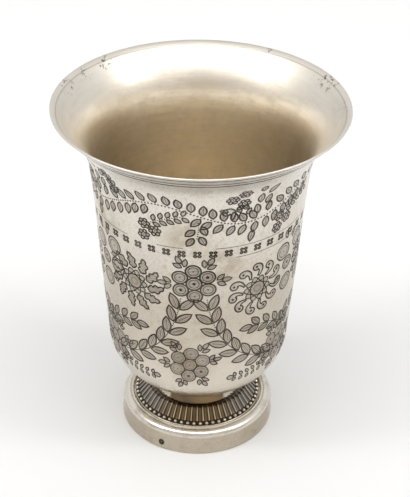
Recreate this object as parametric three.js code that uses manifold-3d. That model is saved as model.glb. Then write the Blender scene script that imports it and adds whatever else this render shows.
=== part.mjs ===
// A silver tulip beaker on a pedestal foot, engraved outside with garlands, flowers and leafy branches.
// Millimetres, +Z up. The origin is on the axis, on the surface that the foot stands on.
import * as THREE from 'three';
import { mergeVertices } from 'three/addons/utils/BufferGeometryUtils.js';
import Module from 'manifold-3d';

const wasm = await Module();
wasm.setup();

// Whole beaker
const BEAKER_HEIGHT = 115;
const RIM_RADIUS = 45;
const WALL_THICKNESS = 0.8;
const TURN_SEGMENTS = 44;

// Bowl, by outside radius and height above the table
const BOWL_SEAT_HEIGHT = 18.1;
const BOWL_LOWEST_POINT = 15.5;
const BOWL_BOTTOM_RISE = 22.1;
const BOWL_ROUNDNESS = 2.3;
const BELLY_RADIUS = 29.07;
const BODY_BOW = new THREE.Vector2(30.9, 58);
const NECK_RADIUS = 32.45;
const NECK_HEIGHT = 82;
const LIP_RISE = new THREE.Vector2(34.5, 103.1);
const LIP_THROAT = new THREE.Vector2(33.5, 102.8);
const LIP_EDGE_DROP = 0.4;
const LIP_EDGE_WIDTH = 0.5;
const FLOOR_INSET = 0.5;

// Collar between the bowl and the foot
const COLLAR_RADIUS = 14.9;
const COLLAR_THICKNESS = 1.3;

// Frieze of tongues and beads
const FRIEZE_TOP_HEIGHT = 12.7;
const FRIEZE_TOP_RADIUS = 16.8;
const FRIEZE_OUTER_RADIUS = 20.8;
const FRIEZE_OUTER_HEIGHT = 7.9;
const FRIEZE_SEAT_HEIGHT = 7.0;
const FRIEZE_THICKNESS = 1.0;
const TONGUE_COUNT = 61;
const TONGUE_RELIEF = 0.5;
const TONGUE_INNER_RADIUS = 17.3;
const TONGUE_OUTER_RADIUS = 19.0;
const TONGUE_END_RADIUS = 19.5;
const BEAD_RELIEF = 0.6;
const BEAD_RING_RADIUS = 20.15;

// Base band
const FOOT_RADIUS = 25;
const FOOT_THICKNESS = 1.2;
const BAND_HEIGHT = 6.0;
const MOULDING_HEIGHT = 8.6;
const MOULDING_CREST_RADIUS = 22.4;
const GROOVE_WIDTH = 0.3;
const LEDGE_WIDTH = 1.3;

// Engraving on the bowl: depth, and the sizes of the motifs
const ENGRAVING_DEPTH = 0.25;
const FACETED_DISC_TURN = 30;
const LEAF_SHOULDER = 0.35;
const MOTIF_REPEATS = 3;
const FRONT_MOTIF_ANGLE = -2.2;
const CLUSTER_HEIGHT = 71.5;
const CLUSTER_RING_RADIUS = 4.7;
const CLUSTER_RING_COUNT = 6;
const ROUNDEL_RADIUS = 2.1;
const ROUNDEL_STEPS = 3;
const LARGE_ROUNDEL_RADIUS = 2.9;
const LARGE_ROUNDEL_PLACES = [
  new THREE.Vector2(-2.7, 5.2), new THREE.Vector2(5.3, 6.6), new THREE.Vector2(6.3, -0.6),
  new THREE.Vector2(0.4, -7.3),
];
const LARGE_CLUSTER_HEIGHT = 70.3;
const WORN_CLUSTER_HEIGHT = 39.4;
const WORN_CLUSTER_RADIUS = 6.4;
const ROSETTE_HEIGHT = 66.8;
const ROSETTE_OFFSET_ANGLE = 36;
const ROSETTE_DISC_RADIUS = 3.2;
const ROSETTE_DISC_STEPS = 4;
const ROSETTE_BLADES = 8;
const ROSETTE_BLADE_LENGTH = 3.6;
const ROSETTE_BLADE_WIDTH = 1.9;
const ROSETTE_BLADE_START = 4.4;
const ROSETTE_BLADE_LEAN = 24;
const BRANCH_PAIRS = 6;
const BRANCH_TIP = new THREE.Vector2(3.4, 64.6);
const BRANCH_HANG = new THREE.Vector2(7.4, 41.0);
const BRANCH_END = new THREE.Vector2(27.6, 38.2);
const BRANCH_LEAF_LENGTH = 6.2;
const BRANCH_LEAF_WIDTH = 2.7;
const BRANCH_LEAF_SPREAD = 32;
const BRANCH_FIRST_PAIR = 0.3;
const STEM_GAP = 0.7;
const WORN_STAMP_REACH = 1.6;

const radians = THREE.MathUtils.degToRad;
const point = (radius, height) => new THREE.Vector2(radius, height);

// A closed solid of a geometry, for cutting and joining.
function solidOf(geometry) {
  geometry.deleteAttribute('normal');
  geometry.deleteAttribute('uv');
  const merged = mergeVertices(geometry, 1e-5);
  const mesh = new wasm.Mesh({
    numProp: 3,
    vertProperties: new Float32Array(merged.attributes.position.array),
    triVerts: new Uint32Array(merged.index.array),
  });
  return new wasm.Manifold(mesh);
}

// The geometry of a solid.
function geometryOf(solid) {
  const mesh = solid.getMesh();
  const geometry = new THREE.BufferGeometry();
  geometry.setAttribute('position', new THREE.BufferAttribute(mesh.vertProperties, 3));
  geometry.setIndex(new THREE.BufferAttribute(mesh.triVerts, 1));
  return geometry;
}

// A profile of radii and heights turned about the beaker's axis, which stands along Z.
function turned(profile, segments = TURN_SEGMENTS) {
  const geometry = new THREE.LatheGeometry(profile, segments);
  geometry.rotateX(Math.PI / 2);
  return geometry;
}

// The profile moved sideways by a distance, to the left of its own direction when positive.
function offsetProfile(profile, distance) {
  return profile.map((here, index) => {
    const before = profile[Math.max(index - 1, 0)];
    const after = profile[Math.min(index + 1, profile.length - 1)];
    const along = after.clone().sub(before).normalize();
    return point(here.x - along.y * distance, here.y + along.x * distance);
  });
}

// Outside of the bowl from its seat up to the lip: a rounded bottom, a slightly bowed body, a flared lip.
function bowlOutside(bottomSteps, bodySteps, lipSteps) {
  const shoulder = BOWL_LOWEST_POINT + BOWL_BOTTOM_RISE;
  const bottom = [];
  const rise = (BOWL_SEAT_HEIGHT - BOWL_LOWEST_POINT) / BOWL_BOTTOM_RISE;
  const startAngle = Math.acos(1 - rise);
  for (let step = 0; step < bottomSteps; step += 1) {
    const angle = THREE.MathUtils.lerp(startAngle, Math.PI / 2, step / bottomSteps);
    const depth = Math.cos(angle);
    const radius = BELLY_RADIUS * (1 - depth ** BOWL_ROUNDNESS) ** (1 / BOWL_ROUNDNESS);
    bottom.push(point(radius, shoulder - BOWL_BOTTOM_RISE * depth));
  }
  const body = new THREE.QuadraticBezierCurve(
    point(BELLY_RADIUS, shoulder), BODY_BOW, point(NECK_RADIUS, NECK_HEIGHT));
  const lipEdge = point(RIM_RADIUS, BEAKER_HEIGHT - LIP_EDGE_DROP);
  const lip = new THREE.CubicBezierCurve(point(NECK_RADIUS, NECK_HEIGHT), LIP_RISE, LIP_THROAT, lipEdge);
  return [...bottom, ...body.getPoints(bodySteps).slice(0, -1), ...lip.getPoints(lipSteps)];
}

const outside = bowlOutside(7, 2, 6);
const insideLine = offsetProfile(bowlOutside(5, 1, 4), WALL_THICKNESS);

// Radius of the bowl's outside and the lean of its surface at a height.
function wallAt(height) {
  let index = outside.findIndex((spot) => spot.y > height);
  index = index < 1 ? outside.length - 1 : index;
  const below = outside[index - 1];
  const above = outside[index];
  const share = (height - below.y) / (above.y - below.y);
  return {
    radius: THREE.MathUtils.lerp(below.x, above.x, share),
    lean: Math.atan2(above.x - below.x, above.y - below.y),
  };
}

// Blank of the bowl: outside, a rounded lip edge, inside and a flat bottom that ends inside the wall's foot.
function bowlBlank() {
  const floor = BOWL_SEAT_HEIGHT + WALL_THICKNESS;
  const insideWall = insideLine.toReversed()
    .filter((spot) => spot.y > floor && spot.y < BEAKER_HEIGHT - WALL_THICKNESS);
  const lipTop = point(RIM_RADIUS - LIP_EDGE_WIDTH, BEAKER_HEIGHT);
  const floorRadius = insideLine[0].x - FLOOR_INSET;
  return turned([
    point(0, BOWL_SEAT_HEIGHT), ...outside, lipTop, ...insideWall, point(floorRadius, floor), point(0, floor),
  ]);
}

// A flat outline pressed into the bowl's wall at an angle and a height, turned in its own plane. A round
// stretch of the outline gets twice as many corners as steps.
function stamp(outline, angle, height, turn, steps, depth = ENGRAVING_DEPTH) {
  const geometry = new THREE.ExtrudeGeometry(outline, {
    depth: 2 * depth, bevelEnabled: false, curveSegments: steps,
  });
  const wall = wallAt(height);
  geometry.translate(0, 0, -depth);
  geometry.rotateZ(radians(turn));
  geometry.rotateX(Math.PI / 2 + wall.lean);
  geometry.translate(0, -wall.radius, height);
  geometry.rotateZ(radians(angle));
  return solidOf(geometry);
}

// An almond leaf from its stem at the origin to its tip along x.
function leafOutline(length, width) {
  const leaf = new THREE.Shape();
  leaf.moveTo(0, 0);
  leaf.lineTo(length * LEAF_SHOULDER, -width / 2);
  leaf.lineTo(length, 0);
  leaf.lineTo(length * (1 - LEAF_SHOULDER), width / 2);
  return leaf;
}

// A blade that widens to its outer end, as in the rosettes.
function bladeOutline(length, width) {
  const blade = new THREE.Shape();
  blade.moveTo(0, 0);
  blade.lineTo(length, -width / 2);
  blade.lineTo(length, width / 2);
  return blade;
}

function discOutline(radius) {
  const disc = new THREE.Shape();
  disc.absarc(0, 0, radius, 0, 2 * Math.PI);
  return disc;
}

// Angle around the beaker of a distance measured along the wall at a height.
function angleOf(distance, height) {
  return THREE.MathUtils.radToDeg(distance / wallAt(height).radius);
}

// Places of the roundels in the ring of a cluster, from its middle.
function ringPlaces() {
  return Array.from({ length: CLUSTER_RING_COUNT }, (_, index) => {
    const turn = radians(90 + index * 360 / CLUSTER_RING_COUNT);
    return point(CLUSTER_RING_RADIUS * Math.cos(turn), CLUSTER_RING_RADIUS * Math.sin(turn));
  });
}

// A roundel with others of a radius at places around it.
function clusterStamps(angle, middle, radius, places) {
  const stamps = [stamp(discOutline(ROUNDEL_RADIUS), angle, middle, FACETED_DISC_TURN, ROUNDEL_STEPS)];
  for (const spot of places) {
    const height = middle + spot.y;
    const place = angle + angleOf(spot.x, height);
    stamps.push(stamp(discOutline(radius), place, height, FACETED_DISC_TURN, ROUNDEL_STEPS));
  }
  return stamps;
}

// A rosette: a disc with blades that lean one way around it.
function rosetteStamps(angle) {
  const stamps = [stamp(discOutline(ROSETTE_DISC_RADIUS), angle, ROSETTE_HEIGHT, 0, ROSETTE_DISC_STEPS)];
  for (let index = 0; index < ROSETTE_BLADES; index += 1) {
    const turn = 90 + index * 360 / ROSETTE_BLADES;
    const height = ROSETTE_HEIGHT + ROSETTE_BLADE_START * Math.sin(radians(turn));
    const place = angle + angleOf(ROSETTE_BLADE_START * Math.cos(radians(turn)), height);
    const blade = bladeOutline(ROSETTE_BLADE_LENGTH, ROSETTE_BLADE_WIDTH);
    stamps.push(stamp(blade, place, height, turn - ROSETTE_BLADE_LEAN, 1));
  }
  return stamps;
}

// A branch of paired leaves that hangs from beside a cluster down and out to one side, +1 or -1.
function branchStamps(angle, side) {
  const stem = new THREE.QuadraticBezierCurve(BRANCH_END, BRANCH_HANG, BRANCH_TIP);
  const stamps = [];
  for (let pair = 0; pair < BRANCH_PAIRS; pair += 1) {
    const share = (pair + BRANCH_FIRST_PAIR) / BRANCH_PAIRS;
    const base = stem.getPointAt(share);
    const along = stem.getTangentAt(share);
    const growth = THREE.MathUtils.radToDeg(Math.atan2(along.y, along.x));
    for (const spread of [-BRANCH_LEAF_SPREAD, BRANCH_LEAF_SPREAD]) {
      const turn = growth + spread;
      const x = base.x + STEM_GAP * Math.cos(radians(turn));
      const height = base.y + STEM_GAP * Math.sin(radians(turn));
      const leaf = leafOutline(BRANCH_LEAF_LENGTH, BRANCH_LEAF_WIDTH);
      const facing = side > 0 ? turn : 180 - turn;
      stamps.push(stamp(leaf, angle + side * angleOf(x, height), height, facing, 3));
    }
  }
  return stamps;
}

// The worn clusters are wide, so their floor follows the wall and isn't flat.
function wornSolid() {
  const stamps = [];
  for (let repeat = 0; repeat < MOTIF_REPEATS; repeat += 1) {
    const angle = FRONT_MOTIF_ANGLE + repeat * 360 / MOTIF_REPEATS;
    const disc = discOutline(WORN_CLUSTER_RADIUS);
    stamps.push(stamp(
      disc, angle, WORN_CLUSTER_HEIGHT, FACETED_DISC_TURN, ROUNDEL_STEPS, WORN_STAMP_REACH));
  }
  const core = offsetProfile(outside, ENGRAVING_DEPTH);
  const coreSolid = solidOf(turned([
    point(0, core[0].y), ...core, point(0, core[core.length - 1].y),
  ]));
  return stamps.reduce((joined, next) => joined.add(next)).subtract(coreSolid);
}

// All recessed motifs of the bowl, joined into one solid.
function engraving() {
  const stamps = [];
  for (let repeat = 0; repeat < MOTIF_REPEATS; repeat += 1) {
    const angle = FRONT_MOTIF_ANGLE + repeat * 360 / MOTIF_REPEATS;
    const between = angle + 180 / MOTIF_REPEATS;
    stamps.push(...clusterStamps(angle, CLUSTER_HEIGHT, ROUNDEL_RADIUS, ringPlaces()));
    stamps.push(...clusterStamps(
      between, LARGE_CLUSTER_HEIGHT, LARGE_ROUNDEL_RADIUS, LARGE_ROUNDEL_PLACES));
    for (const side of [-1, 1]) {
      stamps.push(...rosetteStamps(angle + side * ROSETTE_OFFSET_ANGLE));
      stamps.push(...branchStamps(angle, side));
    }
  }
  return stamps.reduce((joined, next) => joined.add(next), wornSolid());
}

function bowlGeometry() {
  return geometryOf(solidOf(bowlBlank()).subtract(engraving()));
}

// A plain ring from the frieze's flat top up to the bowl's seat.
function collarGeometry() {
  const inner = COLLAR_RADIUS - COLLAR_THICKNESS;
  return turned([
    point(inner, FRIEZE_TOP_HEIGHT), point(COLLAR_RADIUS, FRIEZE_TOP_HEIGHT),
    point(COLLAR_RADIUS, BOWL_SEAT_HEIGHT), point(inner, BOWL_SEAT_HEIGHT),
    point(inner, FRIEZE_TOP_HEIGHT),
  ]);
}

// Height of the frieze's sloping face at a radius.
function friezeHeight(radius) {
  const share = (radius - FRIEZE_TOP_RADIUS) / (FRIEZE_OUTER_RADIUS - FRIEZE_TOP_RADIUS);
  return THREE.MathUtils.lerp(FRIEZE_TOP_HEIGHT, FRIEZE_OUTER_HEIGHT, share);
}

// The pedestal dome: a thin sloping shell with a flat top. Its even columns are raised to the ridges between
// the tongues, and its odd ones to the beads under them.
function friezeGeometry() {
  const bore = COLLAR_RADIUS - COLLAR_THICKNESS;
  const underside = FRIEZE_TOP_HEIGHT - FRIEZE_THICKNESS;
  const sloped = (radius) => point(radius, friezeHeight(radius));
  const rows = [
    { spot: point(bore, underside), relief: 0 },
    { spot: point(FRIEZE_TOP_RADIUS - FRIEZE_THICKNESS / 2, underside), relief: 0 },
    { spot: point(FRIEZE_OUTER_RADIUS - FRIEZE_THICKNESS * Math.SQRT2, FRIEZE_SEAT_HEIGHT), relief: 0 },
    { spot: point(FRIEZE_OUTER_RADIUS, FRIEZE_SEAT_HEIGHT), relief: 0 },
    { spot: sloped(FRIEZE_OUTER_RADIUS), relief: 0 },
    { spot: sloped(BEAD_RING_RADIUS), relief: BEAD_RELIEF, parity: 1 },
    { spot: sloped(TONGUE_END_RADIUS), relief: 0 },
    { spot: sloped(TONGUE_OUTER_RADIUS), relief: TONGUE_RELIEF, parity: 0 },
    { spot: sloped(TONGUE_INNER_RADIUS), relief: TONGUE_RELIEF, parity: 0 },
    { spot: point(FRIEZE_TOP_RADIUS, FRIEZE_TOP_HEIGHT), relief: 0 },
    { spot: point(bore, FRIEZE_TOP_HEIGHT), relief: 0 },
    { spot: point(bore, underside), relief: 0 },
  ];
  const geometry = turned(rows.map((row) => row.spot), 2 * TONGUE_COUNT);
  const places = geometry.attributes.position;
  const place = new THREE.Vector3();
  for (let index = 0; index < places.count; index += 1) {
    const column = Math.floor(index / rows.length);
    const { relief, parity } = rows[index % rows.length];
    if (relief > 0 && column % 2 === parity) {
      place.fromBufferAttribute(places, index);
      const outwards = new THREE.Vector3(place.x, place.y, 0).normalize();
      place.addScaledVector(outwards, relief * Math.SQRT1_2);
      place.z += relief * Math.SQRT1_2;
      places.setXYZ(index, place.x, place.y, place.z);
    }
  }
  return geometry;
}

// The base band: an upright wall, a rounded moulding and a ledge inside it that carries the frieze.
function footRingGeometry() {
  const grooveWall = FRIEZE_OUTER_RADIUS + GROOVE_WIDTH;
  const moulding = new THREE.QuadraticBezierCurve(
    point(FOOT_RADIUS, BAND_HEIGHT), point(FOOT_RADIUS, MOULDING_HEIGHT),
    point(MOULDING_CREST_RADIUS, MOULDING_HEIGHT));
  const inner = FOOT_RADIUS - FOOT_THICKNESS;
  const ledgeBore = FRIEZE_OUTER_RADIUS - LEDGE_WIDTH;
  return turned([
    point(inner, 0), point(FOOT_RADIUS, 0), ...moulding.getPoints(4),
    point(grooveWall, MOULDING_HEIGHT - GROOVE_WIDTH), point(grooveWall, FRIEZE_SEAT_HEIGHT),
    point(ledgeBore, FRIEZE_SEAT_HEIGHT), point(ledgeBore, FRIEZE_SEAT_HEIGHT - FOOT_THICKNESS),
    point(inner - FOOT_THICKNESS, FRIEZE_SEAT_HEIGHT - FOOT_THICKNESS),
    point(inner, BAND_HEIGHT - FOOT_THICKNESS), point(inner, 0),
  ]);
}

// Colours of the finishes: warm silver, darker in the struck frieze.
const silver = (color, roughness) => new THREE.MeshStandardMaterial({ color, roughness, metalness: 1 });

function piece(name, geometry, material) {
  const mesh = new THREE.Mesh(geometry, material);
  mesh.name = name;
  return mesh;
}

const beaker = new THREE.Group();
beaker.add(piece('bowl', bowlGeometry(), silver(0xd9d2c6, 0.32)));
beaker.add(piece('collar', collarGeometry(), silver(0xcfc7ba, 0.22)));
beaker.add(piece('foot_frieze', friezeGeometry(), silver(0x9a8a72, 0.4)));
beaker.add(piece('foot_ring', footRingGeometry(), silver(0xd2cabd, 0.25)));

export default beaker;
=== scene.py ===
"""Dresses a silver tulip beaker over its frame: bowl, collar, frieze, base band and studio."""
import logging
import math
from dataclasses import dataclass, field, replace
from enum import Enum
from typing import Iterable, Iterator, Sequence

import bmesh
import bpy
import numpy as np
from mathutils import Matrix, Vector
from mathutils.geometry import delaunay_2d_cdt
from mathutils.kdtree import KDTree


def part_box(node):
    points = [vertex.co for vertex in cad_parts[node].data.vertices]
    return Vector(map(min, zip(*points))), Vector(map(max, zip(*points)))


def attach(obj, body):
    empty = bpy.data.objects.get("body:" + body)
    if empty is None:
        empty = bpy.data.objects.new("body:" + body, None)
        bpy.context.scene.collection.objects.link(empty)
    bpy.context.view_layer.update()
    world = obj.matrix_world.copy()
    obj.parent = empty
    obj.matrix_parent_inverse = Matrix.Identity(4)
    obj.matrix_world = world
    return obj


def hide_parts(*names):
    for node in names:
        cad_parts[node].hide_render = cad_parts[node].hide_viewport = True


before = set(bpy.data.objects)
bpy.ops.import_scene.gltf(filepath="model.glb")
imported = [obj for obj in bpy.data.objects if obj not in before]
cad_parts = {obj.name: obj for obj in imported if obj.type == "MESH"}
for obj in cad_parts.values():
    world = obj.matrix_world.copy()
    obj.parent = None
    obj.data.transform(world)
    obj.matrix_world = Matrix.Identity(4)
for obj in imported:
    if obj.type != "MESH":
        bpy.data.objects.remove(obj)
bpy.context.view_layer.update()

MM = 0.001
LOG = logging.getLogger("beaker")
Path = np.ndarray
Pair = tuple[float, float]
Triple = tuple[float, float, float]


class Tone(Enum):
    """How darkly the inside of an engraved outline is hatched."""

    BARE = 0.0
    LIGHT = 0.62
    HATCHED = 0.85
    WORN = 0.88
    DARK = 1.15


@dataclass(frozen=True)
class Mark:
    """One engraved line on the unrolled wall, in millimetres, with the hatching of what it encloses."""

    path: Path
    closed: bool = True
    width: float = 0.56
    depth: float = 0.14
    tone: Tone = Tone.BARE
    grain: float = 0.0

    @property
    def is_dot(self) -> bool:
        """Whether the mark is a ring so small that it is one dot."""
        return self.closed and np.ptp(self.path, axis=0).max() <= self.width * 1.2

    def moved(self, turn: float, across: float, up: float, flip: bool = False) -> "Mark":
        """The mark turned, then mirrored left to right if asked, then moved.

        Args:
            turn: angle in degrees, anticlockwise.
            across: distance to the right in millimetres.
            up: distance upwards in millimetres.
            flip: mirrors the mark before it is moved.

        Returns:
            The placed mark.
        """
        angle = math.radians(turn)
        x = self.path[:, 0] * math.cos(angle) - self.path[:, 1] * math.sin(angle)
        y = self.path[:, 0] * math.sin(angle) + self.path[:, 1] * math.cos(angle)
        if flip:
            x, y = -x[::-1], y[::-1]
        grain = 180 - self.grain - turn if flip else self.grain + turn
        return replace(self, path=np.column_stack([x + across, y + up]), grain=grain)


def moved(marks: Sequence[Mark], turn: float, across: float, up: float, flip: bool = False) -> list[Mark]:
    """All marks moved as one; the arguments are those of Mark.moved."""
    return [mark.moved(turn, across, up, flip) for mark in marks]


def spread(marks: Sequence[Mark], places: Iterable[Triple]) -> list[Mark]:
    """Copies of marks at places, each a turn in degrees and a distance across and up."""
    return [mark for place in places for mark in moved(marks, *place)]


def reached(
        marks: Sequence[Mark], turns: Iterable[float], reach: float, x: float = 0.0, y: float = 0.0,
        spin: float | None = None) -> list[Mark]:
    """Copies of marks, turned and moved out from a place in several directions.

    Args:
        marks: the marks.
        turns: the directions, in degrees.
        reach: how far they are moved.
        x: across distance of the place.
        y: upward distance of the place.
        spin: their own turn in degrees, if it isn't the direction's.

    Returns:
        The placed marks.
    """
    ends = [(turn, math.radians(turn)) for turn in turns]
    return spread(marks, [
        (turn if spin is None else spin, x + reach * math.cos(angle), y + reach * math.sin(angle))
        for turn, angle in ends])


def lengths_along(path: Path) -> np.ndarray:
    """Length along a path at each of its points."""
    return np.concatenate([[0], np.cumsum(np.linalg.norm(np.diff(path, axis=0), axis=1))])


def points_at(places: "float | np.ndarray", along: np.ndarray, path: Path) -> np.ndarray:
    """Points of a path at places, given the lengths along it at its own points."""
    return np.stack([np.interp(places, along, path[:, k]) for k in (0, 1)], axis=-1)


def circle(radius: float, points: int) -> Path:
    """A circle about the origin with a number of points."""
    angle = np.linspace(0, 2 * math.pi, points, endpoint=False)
    return np.column_stack([radius * np.cos(angle), radius * np.sin(angle)])


def almond(length: float, width: float, steps: int) -> Path:
    """An almond outline from the origin along x, widest a little before its middle.

    Args:
        length: from stem to tip.
        width: at its widest.
        steps: spans along each side.

    Returns:
        The closed outline.
    """
    along = np.linspace(0, 1, steps + 1)
    half = width / 2 * np.sin(math.pi * along**0.9) ** 0.72
    there = np.column_stack([along * length, -half])
    back = np.column_stack([along * length, half])[::-1]
    return np.vstack([there, back[1:-1]])


def swept(spine: Path, half_widths: np.ndarray, round_end: int) -> Path:
    """The outline of a stroke whose width changes along it, with a pointed start and a round end.

    Args:
        spine: the stroke's middle line.
        half_widths: half the stroke's width at each of its points.
        round_end: how many points the round end has.

    Returns:
        The closed outline.
    """
    along = np.gradient(spine, axis=0)
    along /= np.linalg.norm(along, axis=1)[:, None]
    side = np.column_stack([-along[:, 1], along[:, 0]])
    left = spine + side * half_widths[:, None]
    right = spine - side * half_widths[:, None]
    angles = np.linspace(-math.pi / 2, math.pi / 2, round_end + 2)[1:-1]
    cap = [spine[-1] + half_widths[-1] * (math.cos(a) * along[-1] + math.sin(a) * side[-1]) for a in angles]
    return np.vstack([right, cap, left[::-1]])


class Motifs:
    """The engraver's motifs, each drawn about its own origin in millimetres."""

    @staticmethod
    def leaf(length: float, width: float, tone: Tone = Tone.HATCHED, steps: int = 7) -> list[Mark]:
        """An almond leaf with a fine middle vein.

        Args:
            length: its length in millimetres.
            width: its width in millimetres.
            tone: how darkly its inside is hatched.
            steps: spans along each side.

        Returns:
            The outline and the vein.
        """
        vein = np.array([[length * 0.2, 0.0], [length * 0.78, 0.0]])
        return [
            Mark(almond(length, width, steps), tone=tone),
            Mark(vein, closed=False, width=0.22, depth=0.05),
        ]

    @staticmethod
    def small_leaf(length: float, width: float, tone: Tone = Tone.HATCHED) -> list[Mark]:
        """A leaf too small for a vein."""
        return [Mark(almond(length, width, 5), width=0.46, depth=0.12, tone=tone)]

    @staticmethod
    def roundel(radius: float, tone: Tone) -> list[Mark]:
        """A round flower: an outline, a fine ring inside it and a dot.

        Args:
            radius: its radius in millimetres.
            tone: how darkly its inside is hatched.

        Returns:
            The outline, the ring and the dot.
        """
        return [
            Mark(circle(radius, 18), tone=tone),
            Mark(circle(radius * 0.66, 16), width=0.3, depth=0.06),
            Mark(circle(0.3, 6), width=0.5, depth=0.14),
        ]

    @staticmethod
    def blossom(radius: float) -> list[Mark]:
        """A small flower of six round petals about a punched eye.

        Args:
            radius: distance from the eye to the petals' tips in millimetres.

        Returns:
            The eye and the petals.
        """
        marks = [Mark(circle(radius * 0.2, 6), width=0.8, depth=0.15)]
        petal = Mark(circle(radius * 0.33, 9), width=0.46, depth=0.15, tone=Tone.HATCHED)
        return marks + reached([petal], range(0, 360, 60), radius * 0.68)

    @staticmethod
    def quatrefoil(size: float) -> list[Mark]:
        """Four round lobes set in a square, cut dark."""
        lobe = [Mark(circle(size * 0.19, 8), width=0.46, depth=0.15, tone=Tone.DARK)]
        return reached(lobe, range(45, 360, 90), size * 0.27 * math.sqrt(2), spin=0)

    @staticmethod
    def curled(length: float, heading: np.ndarray) -> Path:
        """A line from the origin in even strides, each with its heading in radians."""
        strides = np.column_stack([np.cos(heading[1:]), np.sin(heading[1:])]) * length / (len(heading) - 1)
        return np.vstack([[0.0, 0.0], np.cumsum(strides, axis=0)])

    @staticmethod
    def tendril(length: float, curl: float) -> list[Mark]:
        """A comma that starts thin and ends in a round curled head.

        Args:
            length: its length in millimetres.
            curl: how far it turns from its start to its end, in degrees.

        Returns:
            The stroke and its head.
        """
        share = np.linspace(0, 1, 15)
        spine = Motifs.curled(length, np.radians(curl) * share**2.2)
        head = moved([Mark(circle(0.5, 8), width=0.9, depth=0.13)], 0, *spine[-1].tolist())
        return [Mark(swept(spine, 0.3 + 0.95 * share**1.3, 5), width=0.54, tone=Tone.LIGHT), *head]

    @staticmethod
    def lobed_leaf(length: float, width: float, curl: float) -> list[Mark]:
        """A curved leaf with three lobes on each side, the last one pointed.

        Args:
            length: its length in millimetres.
            width: its greatest width in millimetres.
            curl: how far it turns from its start to its end, in degrees.

        Returns:
            The outline, as one mark.
        """
        share = np.linspace(0, 1, 19)
        lobes = 0.5 + 0.5 * np.abs(np.sin(share * math.pi * 2.7))
        half = width / 2 * np.sin(math.pi * share**0.8 * 0.97 + 0.06) ** 0.6 * lobes
        spine = Motifs.curled(length, np.radians(curl) * share)
        return [Mark(swept(spine, half, 1), width=0.58, depth=0.15, tone=Tone.WORN)]

    @staticmethod
    def sprig(length: float) -> list[Mark]:
        """A middle leaf between two side leaves, growing along x.

        Args:
            length: its length in millimetres.

        Returns:
            The three leaves.
        """
        marks = moved(Motifs.small_leaf(length * 0.6, length * 0.34, Tone.WORN), 0, length * 0.38, 0)
        side_leaf = Motifs.small_leaf(length * 0.58, length * 0.31, Tone.WORN)
        return marks + spread(side_leaf, [(side * 36, length * 0.1, side * 0.4) for side in (-1, 1)])

    @staticmethod
    def dotted(stem: Path, pitch: float, radius: float = 0.25) -> list[Mark]:
        """A row of punched dots along a stem.

        Args:
            stem: the line that the dots follow.
            pitch: distance between dots in millimetres.
            radius: each dot's radius.

        Returns:
            The dots.
        """
        along = lengths_along(stem)
        dot = Mark(circle(radius, 6), width=radius * 2, depth=0.15)
        spots = points_at(np.arange(pitch / 2, along[-1], pitch), along, stem)
        return spread([dot], [(0, x, y) for x, y in spots.tolist()])


def bezier(points: Sequence[Pair], steps: int) -> Path:
    """Points along a quadratic or cubic curve given by its corner points.

    Args:
        points: the corner points.
        steps: spans along the curve.

    Returns:
        The points, first and last included.
    """
    share = np.linspace(0, 1, steps + 1)[:, None]
    order = len(points) - 1
    weights = [math.comb(order, k) * share**k * (1 - share) ** (order - k) for k in range(order + 1)]
    return sum(weight * np.array(corner) for weight, corner in zip(weights, points))


def walk(path: Path, count: int, first: float = 0.0, last: float = 1.0) -> Iterator[Triple]:
    """Even stations along a path.

    Args:
        path: the line that is walked.
        count: how many stations.
        first: share of the length at the first station.
        last: share of the length at the last one.

    Yields:
        Each station's x and y, and the path's direction there in degrees.
    """
    along = lengths_along(path)
    for share in np.linspace(first, last, count):
        place = share * along[-1]
        x, y = points_at(place, along, path).tolist()
        behind, ahead = max(place - 0.5, 0.0), min(place + 0.5, along[-1])
        dx, dy = (points_at(ahead, along, path) - points_at(behind, along, path)).tolist()
        yield x, y, math.degrees(math.atan2(dy, dx))


@dataclass
class BowlShape:
    """The bowl's outside profile, with radii, heights and lengths along it in millimetres."""

    rim_radius: float
    rim_height: float
    seat_height: float
    shoulder_length: float = 28.7
    lowest: float = 15.5
    rise: float = 22.1
    roundness: float = 2.3
    belly_radius: float = 29.07
    bow: Pair = (30.9, 58.0)
    neck: Pair = (32.45, 82.0)
    lip_rise: Pair = (34.5, 103.1)
    lip_throat: Pair = (33.5, 102.8)
    lip_drop: float = 0.4
    wall: float = 0.8
    smoothing: int = 9

    def __post_init__(self) -> None:
        """Samples the profile finely, with its length along the wall from the datum height."""
        shoulder = self.lowest + self.rise
        start = math.acos((shoulder - self.seat_height + 0.5) / self.rise)
        angle = np.linspace(start, math.pi / 2, 200)
        low = np.cos(angle)
        radius = self.belly_radius * (1 - low**self.roundness) ** (1 / self.roundness)
        bottom = np.column_stack([radius, shoulder - self.rise * low])
        body = bezier([(self.belly_radius, shoulder), self.bow, self.neck], 200)
        edge = (self.rim_radius, self.rim_height - self.lip_drop)
        lip = bezier([self.neck, self.lip_rise, self.lip_throat, edge], 300)
        self.line = np.vstack([bottom[:-1], body[:-1], lip])
        self.length = lengths_along(self.line)
        self.length += self.shoulder_length - self.length[len(bottom) - 1]
        slope = np.gradient(self.line, self.length, axis=0)
        window = 2 * self.smoothing + 1
        slope = np.column_stack([
            np.convolve(np.pad(slope[:, k], self.smoothing, "edge"), np.ones(window) / window, "valid")
            for k in (0, 1)])
        slope /= np.linalg.norm(slope, axis=1)[:, None]
        self.normal = np.column_stack([slope[:, 1], -slope[:, 0]])
        self.seat = float(np.interp(self.seat_height, self.line[:, 1], self.length))
        self.edge = float(self.length[-1])

    def at(self, along: np.ndarray) -> tuple[np.ndarray, np.ndarray]:
        """Points (radius, height) and outward normals (radial, upward) at lengths along the wall."""
        spot, normal = (points_at(along, self.length, line) for line in (self.line, self.normal))
        return spot, normal / np.linalg.norm(normal, axis=1)[:, None]


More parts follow.
